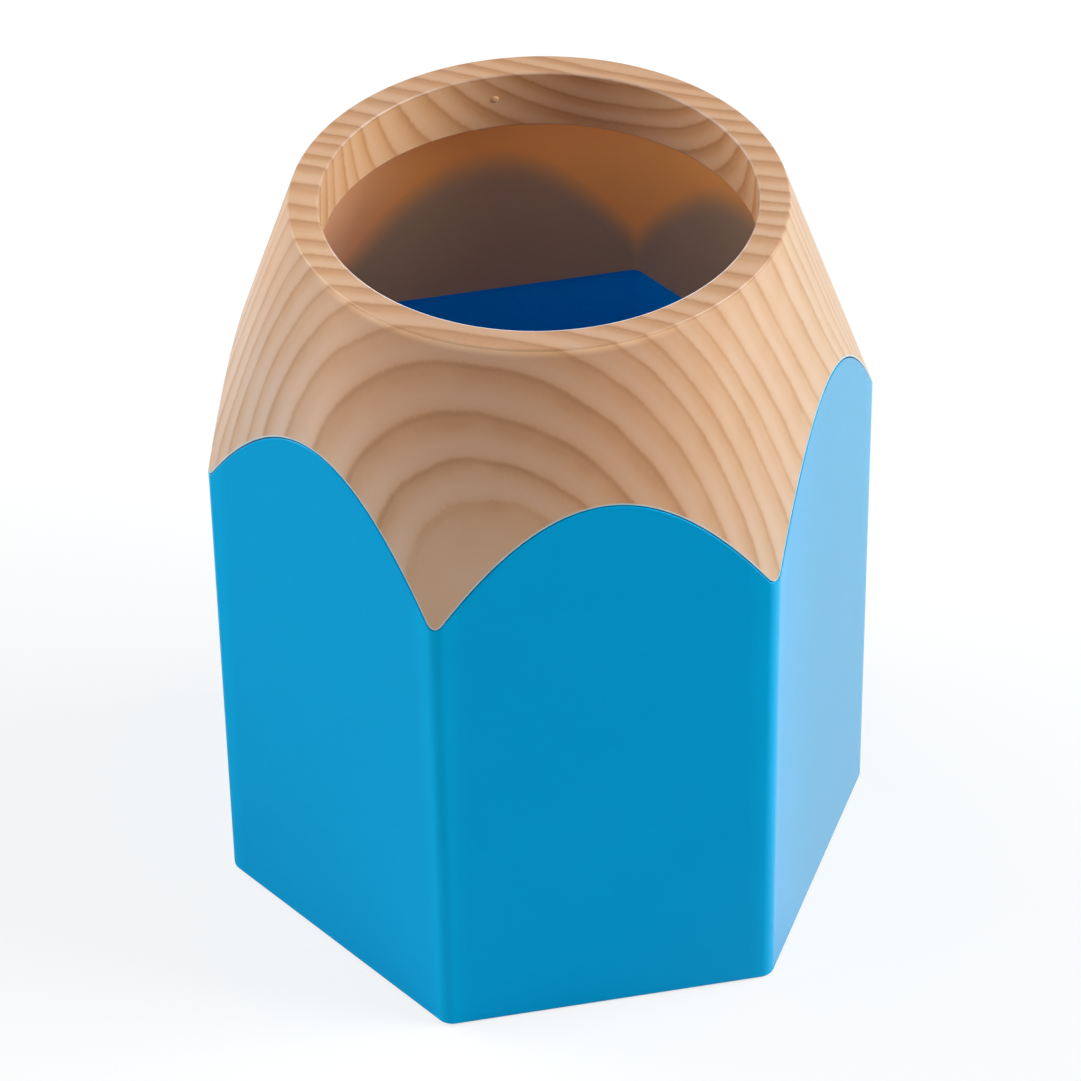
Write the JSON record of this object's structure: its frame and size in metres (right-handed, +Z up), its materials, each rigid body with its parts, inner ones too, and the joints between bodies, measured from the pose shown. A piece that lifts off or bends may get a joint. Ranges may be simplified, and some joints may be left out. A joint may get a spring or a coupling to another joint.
{
  "type": "pen holder",
  "caption": "Pencil-shaped desk pen holder: a glossy blue six-sided cup with a wood-look tapered collar plugged into its scalloped mouth.",
  "frame": {"origin": "middle of the foot band's underside, on the surface that the holder stands on", "axes": "+Z up through the middle of the mouth; +X and -X point at two opposite upright edges; +Y and -Y point at the middle of two opposite side faces"},
  "size_m": [0.085, 0.0744, 0.1],
  "materials": {
    "blue_gloss_plastic": "dyed through, high gloss, smooth",
    "wood_print_plastic": "beige plastic with a printed film of pale wood grain under a semi-gloss clear coat; bare and slightly translucent inside"
  },
  "bodies": {
    "root": {"hexagonal_shell": "blue_gloss_plastic", "tapered_collar": "wood_print_plastic"}
  },
  "joints": []
}
